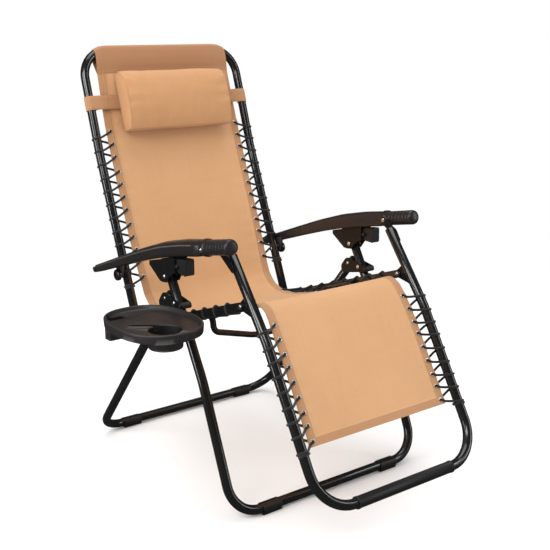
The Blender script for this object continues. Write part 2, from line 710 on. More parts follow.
# closed section of the sculpted part, (outward, up) in half sizes: outer wall, ridge, groove,
# crown, inner wall, flat underside
OUTLINE = [(0.88, -0.88), (0.97, -0.55), (1.0, -0.10), (1.0, 0.24), (0.965, 0.44), (0.90, 0.48),
           (0.84, 0.40), (0.76, 0.42), (0.62, 0.66), (0.36, 0.90), (0.02, 1.0), (-0.34, 0.98),
           (-0.68, 0.84), (-0.92, 0.52), (-1.0, 0.06), (-0.99, -0.48), (-0.90, -0.88),
           (-0.66, -0.99), (-0.25, -1.0), (0.25, -1.0), (0.66, -0.98)]
OUTLINE_STEPS = 3
RIB_FIRST, RIB_PITCH, RIB_WIDTH = -0.318, 0.0125, 0.0014    # shallow grooves round the grip


def dense_outline():
    points = [Vector((x, y, 0)) for x, y in OUTLINE]
    count = len(points)
    return [spline_point(points[i - 1], points[i], points[(i + 1) % count],
                         points[(i + 2) % count], k / OUTLINE_STEPS)
            for i in range(count) for k in range(OUTLINE_STEPS)]


def arm_stations():
    """Fine y stations along the arm, with the centre heights faired behind the grip."""
    y_in = ARM[:, 0]
    first, last = y_in[GRIP_LAST], y_in[SCULPT_FIRST]
    ys = list(y_in[:GRIP_LAST + 1]) + [first + (last - first) * k / 5 for k in range(1, 5)]
    ys += list(np.linspace(last, y_in[SCULPT_LAST], 46)) + list(y_in[SCULPT_LAST + 1:])
    ribs = {round(RIB_FIRST + RIB_PITCH * k + RIB_WIDTH * step, 5)
            for k in range(6) for step in (-2, -1, 0, 1, 2)}
    ys = sorted({round(float(y), 5) for y in ys} | ribs)
    zs = np.interp(ys, y_in, ARM[:, 1])
    for _ in range(3):
        for i in range(1, len(ys) - 1):
            if ys[i] > -0.215:
                ahead, behind = ys[i + 1] - ys[i], ys[i] - ys[i - 1]
                mean = (zs[i - 1] * ahead + zs[i + 1] * behind) / (ahead + behind)
                zs[i] = 0.5 * zs[i] + 0.5 * mean
    return ys, zs


def arm_body(sign):
    shape = dense_outline()
    count = len(shape)
    ys, zs = arm_stations()
    verts = []
    for i, y in enumerate(ys):
        height, width, roundness = (float(np.interp(y, ARM[:, 0], ARM[:, column]))
                                    for column in (2, 3, 4))
        before, after = max(i - 1, 0), min(i + 1, len(ys) - 1)
        along = Vector((0, ys[after] - ys[before], zs[after] - zs[before])).normalized()
        up = Vector((0, -along.z, along.y))
        rib = 1.0
        if -0.3205 < y < -0.2520:
            k = (y - RIB_FIRST) / RIB_PITCH
            rib = 1.0 - 0.045 * math.exp(-((k - round(k)) * RIB_PITCH / RIB_WIDTH) ** 2)
        centre = Vector((sign * X_ARM, y, zs[i]))
        for point in shape:
            angle = math.atan2(point.y, point.x)
            grip = Vector((math.cos(angle) * min(width, 0.0207) * rib,
                           math.sin(angle) * height * rib, 0))
            reach = width * 1.10 if point.x > 0 else min(width, 0.0172)
            sculpted = Vector((point.x * reach, point.y * height, 0))
            offset = grip * roundness + sculpted * (1 - roundness)
            if offset.x < 0:
                offset.x = max(offset.x, -0.0190 if roundness > 0.5 else -0.0172)
            verts.append(centre + Vector((sign * offset.x, 0, 0)) + up * offset.y)
    faces = tube_faces(len(ys), count)
    if sign < 0:
        faces = [face[::-1] for face in faces]
    # the outer ridge is rubbed smooth along its crest
    slots = [1 if 10 <= k <= 12 and -0.2080 < y < 0.3270 else 0
             for y in ys[:-1] for k in range(count)]
    return make("arm_body", verts, faces, [ARM_PLASTIC, ARM_RIDGE], slots=slots + [0, 0])


def arm_ear(sign):
    """Hanger ear under the rear end."""
    inner = X_BACK + TUBE_R + 0.0016
    y, z = ARM_REAR
    arc = [math.pi + math.pi * k / 23 for k in range(24)]
    outline = [(y + 0.0100 * math.cos(angle), z + 0.0100 * math.sin(angle)) for angle in arc]
    outline += [(y + 0.024, 0.5205), (y - 0.020, 0.5320)]
    solid = bmesh.new()
    low, high = ([solid.verts.new((x, *point)) for point in outline]
                 for x in sorted((sign * inner, sign * (inner + 0.0080))))
    solid.faces.new(low)
    solid.faces.new(high[::-1])
    for k in range(len(outline)):
        following = (k + 1) % len(outline)
        solid.faces.new((low[k], low[following], high[following], high[k]))
    bmesh.ops.recalc_face_normals(solid, faces=solid.faces)
    corners = [edge for edge in solid.edges if edge.calc_face_angle(0) > 0.9]
    bmesh.ops.bevel(solid, geom=corners, offset=0.0008, segments=2, affect="EDGES", profile=0.5)
    return from_bmesh("arm_ear", solid, ARM_PLASTIC)


def armrest(side, sign):
    parts = [arm_body(sign), arm_ear(sign)]
    # boss the front pin turns in
    boss_x = X_REST + TUBE_R + 0.0036
    boss = [(boss_x, 0.0060), (boss_x + 0.0004, 0.0090), (boss_x + 0.0012, 0.0100),
            (X_ARM - 0.006, 0.0100)]
    parts.append(lathe_x("arm_boss", ARM_FRONT, boss, 32, ARM_PLASTIC, sign))
    # rivet head and washer on the outer side of the collar
    face_x = X_ARM + 0.0196
    rivet = [(face_x + x, radius) for x, radius in (
        (-0.002, 0.0066), (0.0002, 0.0066), (0.0008, 0.0062), (0.0009, 0.0048),
        (0.0018, 0.0042), (0.0026, 0.0028), (0.0029, 0.0010))]
    centre = (ARM_FRONT[0] + 0.008, ARM_FRONT[1] - 0.002)
    parts.append(lathe_x("arm_rivet", centre, rivet, 28, ZINC, sign))
    joined = join(f"armrest_{side}_sculpted", parts)
    finish_piece(joined, "arms", "black_plastic", "armrest_" + side)


for side, sign in SIDES:
    armrest(side, sign)

# ------------------------------------------------------------------ sling centre line
TOP = Vector((0, *BACK[-1]))
BACK_UP = Vector((0, BACK[2][0] - BACK[1][0], BACK[2][1] - BACK[1][1])).normalized()
BACK_OUT = Vector((0, BACK_UP.z, -BACK_UP.y))    # square to the back, away from the sitter
BAND = 0.0640                  # how far the doubled top band comes down
LOOP_R = 0.0139                # cloth round the top bar


def top_at(up, out):
    return TOP + BACK_UP * up + BACK_OUT * out


# from behind the band, up and over the bar
BAR_LOOP = [top_at(-BAND - 0.004, -0.0020), top_at(-0.0450, 0.0070), top_at(-0.0200, 0.0134)]
BAR_LOOP += [top_at(LOOP_R * math.sin(math.pi * k / 8), LOOP_R * math.cos(math.pi * k / 8))
             for k in range(1, 8)]
# from the front of the bar down the back, along the seat and down the leg rest
SLING_LINE = [top_at(-0.0010, -LOOP_R), top_at(-0.0220, -0.0128), top_at(-0.0450, -0.0090),
              top_at(-BAND - 0.004, -0.0050)]
SLING_LINE += [Vector((0, y, z)) for y, z in (
    (0.3790, 0.9080), (0.3640, 0.8640), (0.3440, 0.8050), (0.3030, 0.6960), (0.2560, 0.5740),
    (0.2180, 0.4760), (0.1985, 0.4330), (0.1700, 0.4060), (0.1250, 0.3930), (0.0600, 0.3980),
    (-0.0400, 0.4225), (-0.1600, 0.4600), (-0.2500, 0.4905), (-0.3020, 0.5140),
    (-0.3300, 0.5215), (-0.3560, 0.5090), (-0.3800, 0.4800), (-0.4180, 0.4220),
    (-0.4700, 0.3320), (-0.5240, 0.2360))]


def resample(points, step):
    """Evenly spaced points on the smooth curve through the given ones."""
    dense = catmull(points, 24)
    lengths = running_length(dense)
    count = max(2, round(lengths[-1] / step))
    out = []
    for k in range(count + 1):
        target = lengths[-1] * k / count
        i = min(int(np.searchsorted(lengths, target, side="right")) - 1, len(dense) - 2)
        part = (target - lengths[i]) / max(lengths[i + 1] - lengths[i], 1e-9)
        out.append(dense[i].lerp(dense[i + 1], part))
    return out


CENTRE = resample(SLING_LINE, step=0.0060)
ARC = running_length(CENTRE)
TO_SITTER = [Vector((0, tangent.z, -tangent.y)) for tangent in tangents(CENTRE)]


def arc_near(y, z):
    """Arc length of the centre-line point nearest to (y, z)."""
    return min(((p.y - y) ** 2 + (p.z - z) ** 2, arc) for p, arc in zip(CENTRE, ARC))[1]


def at_arc(arc):
    """Centre-line point and normal towards the sitter."""
    i = min(max(int(np.searchsorted(ARC, arc, side="right")) - 1, 0), len(CENTRE) - 2)
    part = (arc - ARC[i]) / (ARC[i + 1] - ARC[i])
    normal = TO_SITTER[i].lerp(TO_SITTER[i + 1], part).normalized()
    return CENTRE[i].lerp(CENTRE[i + 1], part), normal


# panel ends, as arc lengths from the top
BACK_END = arc_near(0.2120, 0.4620)
REAR_HINGE = arc_near(0.1800, 0.4140)
SEAT_START = arc_near(0.1380, 0.3960)
SEAT_END = arc_near(-0.2960, 0.5115)
KNEE_HINGE = arc_near(-0.3200, 0.5215)
REST_START = arc_near(-0.3480, 0.5150)
SLING_END = ARC[-1]

BACK_EYES = [arc_near(0.3712 - (0.868 - z) * 0.388, z) for z in np.linspace(0.868, 0.482, 12)]
SEAT_EYES = [SEAT_START + 0.020 + (SEAT_END - SEAT_START - 0.034) * k / 8 for k in range(9)]
REST_EYES = [arc_near(-0.379 - (0.483 - z) * 0.60, z) for z in np.linspace(0.483, 0.247, 9)]
ALL_EYES = BACK_EYES + SEAT_EYES + REST_EYES

# (arc, half width of the cloth)
HALF_WIDTHS = [(0, 0.2150), (0.10, 0.2175), (0.20, 0.2205), (BACK_END - 0.12, 0.2200),
               (BACK_END, 0.2150), (SEAT_START, 0.2130), (SEAT_END, 0.2125),
               (REST_START, 0.2120), (REST_START + 0.08, 0.2155), (SLING_END, 0.2155)]
# (arc, how far the middle of the cloth hangs away from the sitter)
SAGS = [(0.0, 0.0), (0.10, 0.002), (0.35, 0.007), (BACK_END, 0.006), (REAR_HINGE, 0.004),
        (SEAT_START + 0.08, 0.007), ((SEAT_START + SEAT_END) / 2, 0.008), (SEAT_END, 0.001),
        (REST_START, 0.0), (REST_START + 0.12, 0.004), (SLING_END, 0.001)]


def half_at(arc):
    return float(np.interp(arc, *zip(*HALF_WIDTHS)))


def droop(x):
    """How far the top bar has bent down at x."""
    past = max(abs(x) - (X_BACK - BEND_BACK), 0.0)
    return BEND_BACK - math.sqrt(BEND_BACK ** 2 - past ** 2)


def bar_drop(x, fade):
    """Offset that follows the bar's bent ends, eased by fade from 1 to 0."""
    return BACK_UP * (droop(x) * fade * fade * (3 - 2 * fade))


def scallop(arc):
    """The hem pulls out a little at each eyelet."""
    return 0.0016 * max(math.exp(-((arc - eye) / 0.008) ** 2) for eye in ALL_EYES)


def surface(x, arc):
    """Point on the cloth, and its normal."""
    point, normal = at_arc(arc)
    across = min(abs(x) / half_at(arc), 1.0)
    sag = float(np.interp(arc, *zip(*SAGS))) * (1 - across * across) ** 1.2
    # soft ripples that fan out from the eyelets, and slow unevenness over the cloth
    edge = max(0.0, (across - 0.62) / 0.38)
    near = min(ALL_EYES, key=lambda eye: abs(eye - arc))
    ripple = (0.0011 * edge * (1 - edge * 0.6) * math.cos(2 * math.pi * (arc - near) / 0.034)
              * (1.0 if 0.18 < arc < SLING_END - 0.03 else 0.3))
    slow = 0.0012 * noise.noise(Vector((x * 7.0, arc * 6.0, 0.3))) * (1 - across ** 4)
    return Vector((x, point.y, point.z)) + normal * (-sag + ripple + slow), normal


# ------------------------------------------------------------------ sling panels
HEM_WIDTH = 0.0225
HEM_COLUMNS = 7


def columns(half):
    """X stations across the cloth."""
    inner = half - HEM_WIDTH
    middle = [(-inner + 2 * inner * k / 34) for k in range(35)]
    hem = [inner + 0.0006, inner + 0.0022, inner + 0.0075, inner + 0.0130, inner + 0.0180,
           half - 0.0012, half]
    return [-x for x in reversed(hem)] + middle + hem


def half_thickness(x, half, band):
    thickness = 0.0006 if abs(x) <= half - HEM_WIDTH else 0.00125
    if abs(x) >= half - 0.0001:
        thickness = 0.00075
    return max(thickness, 0.0012 if band else 0)


def stitches(points, normals, sewing, radius=0.00042):
    """Short thread stitches along a polyline, each a small flattened bead with sunk ends."""
    verts, faces = sewing
    lift, length, pitch = 0.00025, 0.0034, 0.0050
    passed, target = 0.0, 0.002
    for start, end, normal in zip(points[:-1], points[1:], normals):
        segment = (end - start).length
        if segment < 1e-7:
            continue
        along = (end - start) / segment
        side = along.cross(normal).normalized()
        while target < passed + segment:
            centre = start + along * (target - passed)
            base = len(verts)
            for place, size in ((-0.5, 0.25), (-0.28, 0.95), (0.28, 0.95), (0.5, 0.25)):
                for k in range(5):
                    angle = 2 * math.pi * k / 5
                    rise = lift * (size - 0.3) + radius * 0.7 * size * math.sin(angle)
                    verts.append(centre + along * (length * place)
                                 + side * (radius * size * math.cos(angle)) + normal * rise)
            faces += tube_faces(4, 5, base)
            target += pitch
        passed += segment


def cross_seam(arc, reach, face, sewing, fade=0.0):
    """A seam across the cloth, on its sitter face (1) or under face (-1)."""
    points = []
    for x in np.linspace(-reach, reach, 60):
        point, normal = surface(x, arc)
        points.append(point - BACK_UP * (droop(x) * fade) + normal * face * 0.0012)
    stitches(points, [normal * face] * 60, sewing)


def sew(arcs, end, top, foot, sewing):
    """Seams along both hems, and across the top band or the foot hem."""
    for sign in (1, -1):
        for face in (1, -1):
            points, normals = [], []
            for arc in arcs:
                if arc > BAND:
                    x = sign * (half_at(arc) - HEM_WIDTH + 0.0058)
                    point, normal = surface(x, arc)
                    points.append(point + normal * face * 0.00125)
                    normals.append(normal * face)
            stitches(points, normals, sewing)
    if top:
        for arc in (BAND - 0.0035, BAND - 0.0085):
            cross_seam(arc, 0.2105, 1, sewing, fade=(1 - arc / 0.1) ** 2)
    if foot:
        for arc in (end - 0.0170, end - 0.0130):
            for face in (1, -1):
                cross_seam(arc, 0.2045, face, sewing)


def sheet_rows(start, end, top, foot):
    """Rows down the cloth: (arc, normal, points, half thicknesses)."""
    arcs = [start] + [arc for arc in ARC if start + 0.0012 < arc < end - 0.0012] + [end]
    if foot:
        arcs = sorted(set(arcs + [end - 0.0200, end - 0.0190, end - 0.0008]))
    rows = []
    for arc in arcs:
        half = half_at(arc)
        band = (top and arc < BAND) or (foot and arc > end - 0.0195)
        fade = max(0.0, 1 - arc / 0.10)
        bulge = scallop(arc)
        points = []
        for x in columns(half):
            edge = max(0.0, (abs(x) / half - 0.94) / 0.06)
            pulled = x + math.copysign(bulge * edge, x)
            point, normal = surface(pulled, arc)
            if top:
                point = point - bar_drop(pulled, fade)
            points.append(point)
        rows.append((arc, normal, points, [half_thickness(x, half, band) for x in columns(half)]))
    return rows


def loop_rows():
    """Rows over the top bar and down behind it, at negative arcs, lowest row behind first."""
    path = catmull(BAR_LOOP, 4)[::-1]
    half = half_at(0)
    rows = []
    for point, tangent, length in zip(path, tangents(path), running_length(path)):
        fade = max(0.0, 1 - length / 0.11)
        points = [Vector((x, point.y, point.z)) - bar_drop(x, fade) for x in columns(half)]
        halves = [max(0.0007, half_thickness(x, half, False)) for x in columns(half)]
        rows.append((-length, Vector((0, -tangent.z, tangent.y)), points, halves))
    return rows[::-1]


def panel(name, start, end, top=False, foot=False):
    """One closed sheet of the sling between two arcs, with its stitching."""
    rows = (loop_rows() if top else []) + sheet_rows(start, end, top, foot)
    height, width = len(rows), len(rows[0][2])
    count = height * width
    verts = [point + normal * (half * face) for face in (1, -1)
             for _, normal, points, halves in rows for point, half in zip(points, halves)]
    flat_uv = [(point.x, row[0]) for row in rows for point in row[2]]
    faces, uvs, slots = [], [], []
    for i in range(height - 1):
        arc = rows[i][0]
        for k in range(width - 1):
            corner = i * width + k
            quad = (corner, corner + width, corner + width + 1, corner + 1)
            slot = 0
            if k < HEM_COLUMNS or k >= width - 1 - HEM_COLUMNS or (foot and arc >= end - 0.0196):
                slot = 1
            if top and arc < BAND:
                slot = 3
            faces += [quad, tuple(count + j for j in reversed(quad))]
            quad_uv = [flat_uv[j] for j in quad]
            uvs += quad_uv + quad_uv[::-1]
            slots += [slot, slot]
    rim = [i * width for i in range(height)]
    rim += [(height - 1) * width + k for k in range(1, width)]
    rim += [i * width + width - 1 for i in range(height - 2, -1, -1)]
    rim += list(range(width - 2, 0, -1))
    for here, following in zip(rim, rim[1:] + rim[:1]):
        faces.append((following, here, here + count, following + count))
        (x0, arc0), (x1, arc1) = flat_uv[here], flat_uv[following]
        uvs += [(x1, arc1), (x0, arc0), (x0, arc0 + 0.001), (x1, arc1 + 0.001)]
        slots.append(1)
    cloth_faces = len(faces)
    sew([row[0] for row in rows], end, top, foot, (verts, faces))
    for face in faces[cloth_faces:]:
        uvs += [(0.0, 0.0)] * len(face)
        slots.append(2)
    return make(name, verts, faces, [CLOTH, HEM, THREAD, BAND_CLOTH], uvs, slots, sharp=60.0)


def bend(name, start, end, start_body, end_body, *nodes):
    """A panel that flexes between two bodies; its start may be at either end of it."""
    piece = panel(name, min(start, end), max(start, end))
    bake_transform(piece)
    if nodes:
        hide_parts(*nodes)


finish_piece(panel("sling_back_panel", 0.0, BACK_END, top=True), "back", "sling_fabric",
             "back_sling")
bend("sling_back_bend", REAR_HINGE, BACK_END, "back_bolts", "back", "sling_fold_back")
bend("sling_seat_rear_bend", SEAT_START, REAR_HINGE, "seat", "back_bolts")
finish_piece(panel("sling_seat_panel", SEAT_START, SEAT_END), "seat", "sling_fabric", "seat_sling")
bend("sling_seat_front_bend", SEAT_END, KNEE_HINGE, "seat", "rest_bolts")
bend("sling_knee_bend", KNEE_HINGE, REST_START, "rest_bolts", "rest", "sling_fold_knee")
finish_piece(panel("sling_leg_panel", REST_START, SLING_END, foot=True), "rest", "sling_fabric",
             "leg_rest_sling")

# ------------------------------------------------------------------ eyelets
EYE_INSET = 0.0115             # eyelet centre to hem edge
EYE_SIDES = 20
# closed ring section with a flange on both faces of the hem, (radius, height)
EYE_PROFILE = [(0.0030, -0.0016), (0.0034, -0.0024), (0.0046, -0.0026), (0.0058, -0.0019),
               (0.0060, -0.0012), (0.0040, -0.0010)]
EYE_PROFILE += [(radius, -height) for radius, height in reversed(EYE_PROFILE)]


def eyelet(centre, normal, along, verts, faces):
    side = along.cross(normal).normalized()
    base = len(verts)
    for radius, height in EYE_PROFILE:
        for k in range(EYE_SIDES):
            angle = 2 * math.pi * k / EYE_SIDES
            verts.append(centre + side * (radius * math.cos(angle))
                         + along * (radius * math.sin(angle)) + normal * height)
    for i in range(len(EYE_PROFILE)):
        ring = base + i * EYE_SIDES
        after = base + (i + 1) % len(EYE_PROFILE) * EYE_SIDES
        for k in range(EYE_SIDES):
            following = (k + 1) % EYE_SIDES
            faces.append((ring + k, ring + following, after + following, after + k))


def eyelets(name, arcs, body):
    verts, faces = [], []
    for arc in arcs:
        along = at_arc(min(arc + 0.003, SLING_END))[0] - at_arc(arc - 0.003)[0]
        for sign in (1, -1):
            centre, normal = surface(sign * (half_at(arc) - EYE_INSET), arc)
            eyelet(centre, normal, along.normalized(), verts, faces)
    piece = make(name, verts, faces, [ZINC], sharp=50.0)
    face_outward(piece)
    finish_piece(piece, body, "zinc_hardware")


eyelets("back_eyelets", BACK_EYES, "back")
eyelets("seat_eyelets", SEAT_EYES, "seat")
eyelets("leg_eyelets", REST_EYES, "rest")

# ------------------------------------------------------------------ lacing
CORD_R = 0.0031
# (share of the eyelet pitch, angle round the tube)
WRAP = ((0.47, 2.15), (0.49, 1.30), (0.50, 0.45), (0.51, -0.30), (0.52, -1.05), (0.54, -2.05))
END_WRAP = ((0.60, -2.8), (0.62, -3.7), (0.64, -4.6), (0.66, -5.6), (0.68, -6.6))


def nearest_on(line, point):
    """Closest point on a side-view polyline, and the direction along it."""
    best = None
    for start, end in zip(line[:-1], line[1:]):
        start = Vector((0, *start))
        span = Vector((0, *end)) - start
        part = max(0.0, min(1.0, (point - start).dot(span) / span.length_squared))
        found = start + span * part
        gap = (found - point).length
        if best is None or gap < best[0]:
            best = (gap, found, span.normalized())
    return best[1], best[2]


def on_tube(arc, angle, line, tube_x, half_x, half_n, sign):
    """Cord centre drawn tight round the tube, near flush outside where the armrest passes."""
    point, normal = at_arc(arc)
    centre, along = nearest_on(line, point)
    normal = (normal - along * normal.dot(along)).normalized()
    out = (half_x + CORD_R * 0.5) * math.cos(angle)
    if half_x > 0.01:
        out = min(out, half_x + 0.0008 - CORD_R)
    return (Vector((sign * (tube_x + out), centre.y, centre.z))
            + normal * ((half_n + CORD_R * 0.5) * math.sin(angle)))


def lace(name, arcs, tube, tail, sign):
    """Elastic cord: up through an eyelet, across the hem, round the tube, back behind the hem."""
    def past_hem(arc, half, lift):
        point, normal = surface(sign * (half + 0.001), arc)
        return Vector((sign * (half + 0.0015), point.y, point.z)) + normal * lift

    points = []
    for k, arc in enumerate(arcs):
        half = half_at(arc)
        eye, normal = surface(sign * (half - EYE_INSET), arc)
        if k == 0:
            points.append(eye - normal * 0.0060 - Vector((sign * 0.004, 0, 0)))
        points.append(eye - normal * 0.0030)
        points.append(eye + normal * 0.0036 + Vector((sign * 0.0006, 0, 0)))
        last = k == len(arcs) - 1
        if last and not tail:
            break
        following = arc + arcs[1] - arcs[0] if last else arcs[k + 1]
        pitch = following - arc
        points.append(past_hem(arc + pitch * 0.20, half, 0.0034))
        for share, angle in WRAP + (END_WRAP if last else ()):
            points.append(on_tube(arc + pitch * share, angle, *tube, sign))
        if last:
            break
        points.append(past_hem(arc + pitch * 0.84, half, -0.0044))
        eye, normal = surface(sign * (half_at(following) - EYE_INSET), following)
        points.append(eye - normal * 0.0062 + Vector((sign * 0.0020, 0, 0)))
    return sweep(name, catmull(points, 4), CORD_R, 9, CORD, cap=0.002)


# name, eyelets, tube (line, x, half sizes across and along the normal), body, CAD name,
# whether the cord ends wrapped round the tube
LACES = [("back_lacing_", BACK_EYES, (BACK, X_BACK, TUBE_R, TUBE_R), "back", "back_cord_", True),
         ("seat_lacing_", SEAT_EYES, (RAIL, X_REST, RAIL_HALF_X, RAIL_HALF_N), "seat", None, False),
         ("leg_lacing_", REST_EYES, (LEG_REST, X_REST, TUBE_R, TUBE_R), "rest",
          "leg_rest_cord_", True)]
for side, sign in SIDES:
    for stem, arcs, tube, body, cad, tail in LACES:
        cord = lace(stem + side, arcs, tube, tail, sign)
        finish_piece(cord, body, "bungee_cord", *([cad + side] if cad else []))


# ------------------------------------------------------------------ pillow
def at_height(line, z):
    """The point of a side-view polyline at height z."""
    for (y0, z0), (y1, z1) in zip(line[:-1], line[1:]):
        if (z0 - z) * (z1 - z) <= 0:
            return Vector((0, y0 + (y1 - y0) * (z - z0) / (z1 - z0), z))


PILLOW_C = at_height(BACK, 0.9400)    # on the tubes' plane, at the pillow's middle
PILLOW_HALF = 0.1700
# (forward, up along the back): flat behind, crisp lower front edge, round top
PILLOW_PROFILE = [(0.0075, -0.0800), (0.0280, -0.0850), (0.0500, -0.0840), (0.0610, -0.0560),
                  (0.0660, -0.0150), (0.0660, 0.0250), (0.0610, 0.0540), (0.0500, 0.0740),
                  (0.0330, 0.0845), (0.0160, 0.0845), (0.0075, 0.0740), (0.0075, 0.0)]
PILLOW_EDGES = list(zip(PILLOW_PROFILE, PILLOW_PROFILE[1:] + PILLOW_PROFILE[:1]))
LOW_SEAM = PILLOW_PROFILE[2]
WRAP_R = 0.060                 # turns angle round the pillow into UV length


def pillow_point(x, forward, up):
    return PILLOW_C + Vector((x, 0, 0)) - BACK_OUT * forward + BACK_UP * up


def vertex_array(mesh):
    return np.array([vert.co for vert in mesh.vertices])


def move_vertices(mesh, points):
    mesh.vertices.foreach_set("co", points.ravel())
    mesh.update()


def pillow_axes(points):
    """Columns x, forward and up of points, from the pillow's middle."""
    local = points - np.array(PILLOW_C)
    return local[:, 0], -(local @ np.array(BACK_OUT)), local @ np.array(BACK_UP)


def pillow_block():
    solid = bmesh.new()
    inner = PILLOW_HALF - 0.012
    rings = [[solid.verts.new(pillow_point(x, *point)) for point in PILLOW_PROFILE]
             for x in (-PILLOW_HALF, -inner, -0.09, 0.0, 0.09, inner, PILLOW_HALF)]
    bridge(solid, rings)
    piece = from_bmesh("pillow_cushion", solid, PILLOW_CLOTH)
    remesh = piece.modifiers.new("vox", "REMESH")
    remesh.mode = "VOXEL"
    remesh.voxel_size = 0.0052
    remesh.use_smooth_shade = True
    bake(piece)
    return piece


def inflate(piece, seam, back):
    """Blow the block up as cloth, held at its seams and mostly at its back."""
    pins = piece.vertex_groups.new(name="pin")
    for weight, mask in ((1.0, seam), (0.9, back & ~seam)):
        pins.add([int(i) for i in np.nonzero(mask)[0]], weight, "REPLACE")
    cloth = piece.modifiers.new("cloth", "CLOTH")
    settings = cloth.settings
    settings.use_pressure = True
    settings.uniform_pressure_force = 4.0
    settings.effector_weights.gravity = 0.0
    settings.quality = 6
    settings.mass = 0.25
    settings.tension_stiffness = 22
    settings.compression_stiffness = 22
    settings.shear_stiffness = 8
    settings.bending_stiffness = 0.6
    settings.vertex_group_mass = "pin"
    cloth.collision_settings.use_collision = False
    cloth.collision_settings.use_self_collision = False
    scene = bpy.context.scene
    first_frame = scene.frame_current
    for frame in range(1, 21):
        scene.frame_set(frame)
    bake(piece)
    scene.frame_set(first_frame)
    piece.vertex_groups.clear()


def wrap_uvs(mesh):
    """UVs in metres for the weave: U across, V round the roll, flat on the end panels."""
    across, forward, up = pillow_axes(vertex_array(mesh))
    around = np.arctan2(up, forward - 0.030) * WRAP_R
    corners = np.array([loop.vertex_index for loop in mesh.loops])
    uvs = np.stack([across[corners], around[corners]], 1)
    for face in mesh.polygons:
        span = slice(face.loop_start, face.loop_start + face.loop_total)
        if abs(face.normal.x) > 0.75:
            uvs[span, 0] = forward[corners[span]]
            uvs[span, 1] = up[corners[span]]
            continue
        turn = uvs[span, 1]
        if turn.max() - turn.min() > 0.12:      # the face crosses the start of the wrap
            uvs[span, 1] = np.where(turn < 0, turn + 2 * math.pi * WRAP_R, turn)
    layer = mesh.uv_layers.new(name="UVMap")
    layer.data.foreach_set("uv", uvs.astype(np.float32).ravel())


def pillow_cushion():
    piece = pillow_block()
    rest = vertex_array(piece.data)
    across, forward, up = pillow_axes(rest)
    # distances to the end planes and to the profile's outline
    end = np.abs(np.abs(across) - PILLOW_HALF)
    rim = np.minimum.reduce([np.hypot(forward - f0 - (f1 - f0) * t, up - u0 - (u1 - u0) * t)
                             for (f0, u0), (f1, u1) in PILLOW_EDGES for t in np.linspace(0, 1, 7)])
    seam = (end < 0.0045) & (rim < 0.0045)
    low = np.hypot(forward - LOW_SEAM[0], up - LOW_SEAM[1]) < 0.0045
    inflate(piece, seam | low, forward < 0.0095)
    mesh = piece.data
    travel = vertex_array(mesh) - rest
    length = np.linalg.norm(travel, axis=1)
    most = 0.0120
    scale = np.where(length > most, most / np.maximum(length, 1e-9), 1.0)
    points = rest + travel * scale[:, None]
    # crown, creases, gathers running in from the end seams, and a pinch at those seams
    inward = np.clip(1 - np.abs(across) / PILLOW_HALF, 0, 1)
    crown = (0.0040 * np.sin(np.clip(inward * math.pi, 0, math.pi / 2))
             * np.clip((forward - 0.03) / 0.03, 0, 1))
    crease = np.array([0.0016 * noise.noise(Vector((x * 14, u * 9, 1.7)))
                       + 0.0009 * noise.noise(Vector((x * 40, u * 30, 4.2)))
                       for x, u in zip(across, up)])
    gather = (0.0016 * np.exp(-end / 0.030) * np.sin(up / 0.0075 + 1.3 * np.sin(up / 0.021))
              * (end > 0.004))
    push = crown + (crease + gather) * np.clip((forward - 0.010) / 0.02, 0, 1)
    pinch = -0.0014 * np.exp(-(end / 0.004) ** 2) * (rim < 0.012)
    move_vertices(mesh, points)
    normals = np.array([vert.normal for vert in mesh.vertices])
    points = points + normals * (push + pinch)[:, None]
    # keep off the cloth behind
    forward = pillow_axes(points)[1]
    points += np.outer(np.maximum(0.0065 - forward, 0), -np.array(BACK_OUT))
    move_vertices(mesh, points)
    subdivision = piece.modifiers.new("sub", "SUBSURF")
    subdivision.levels = 1
    subdivision.render_levels = 1
    bake(piece)
    piece.data.shade_smooth()
    wrap_uvs(piece.data)
    return piece


def near_surface(piece, point, out):
    """Where a line inward along -out first meets the piece, or the point itself on a miss."""
    hit, location, _, _ = piece.ray_cast(point + out * 0.06, -out)
    return location if hit else point


def end_welt(cushion, sign):
    """Welted seam round one end."""
    loop = []
    for (f0, u0), (f1, u1) in PILLOW_EDGES:
        for k in range(6):
            forward, up = f0 + (f1 - f0) * k / 6, u0 + (u1 - u0) * k / 6
            out = (Vector((sign * 0.55, 0, 0)) - BACK_OUT * (forward - 0.034) * 9
                   + BACK_UP * up * 9).normalized()
            point = pillow_point(sign * (PILLOW_HALF - 0.0005), forward, up)
            loop.append(near_surface(cushion, point, out) + out * 0.0003)
    loop = [(loop[i - 1] + loop[i] * 2 + loop[(i + 1) % len(loop)]) / 4 for i in range(len(loop))]
    return sweep(f"welt_{sign}", loop + loop[:2], 0.0013, 8, HEM)


def low_welt(cushion):
    """Welted seam along the lower front edge."""
    out = (-BACK_OUT - BACK_UP * 0.9).normalized()
    path = []
    for k in range(61):
        point = pillow_point(-PILLOW_HALF + 2 * PILLOW_HALF * k / 60, *LOW_SEAM)
        path.append(near_surface(cushion, point, out) + out * 0.0002)
    return sweep("welt_low", path, 0.0011, 8, HEM, cap=0.002)


def pillow():
    cushion = pillow_cushion()
    bpy.context.view_layer.update()
    welts = [end_welt(cushion, 1), end_welt(cushion, -1), low_welt(cushion)]
    sewn = join("pillow_cushion_sewn", [cushion] + welts)
    sewn.data.set_sharp_from_angle(angle=math.radians(75))
    finish_piece(sewn, "pillow", "pillow_fabric", "pillow")


pillow()

# ------------------------------------------------------------------ pillow straps
STRAP_C = at_height(BACK, 0.9440)
STRAP_T, STRAP_W = 0.00075, 0.0195    # half thickness and half width
STRAP_LOOP_R = TUBE_R + 0.0016
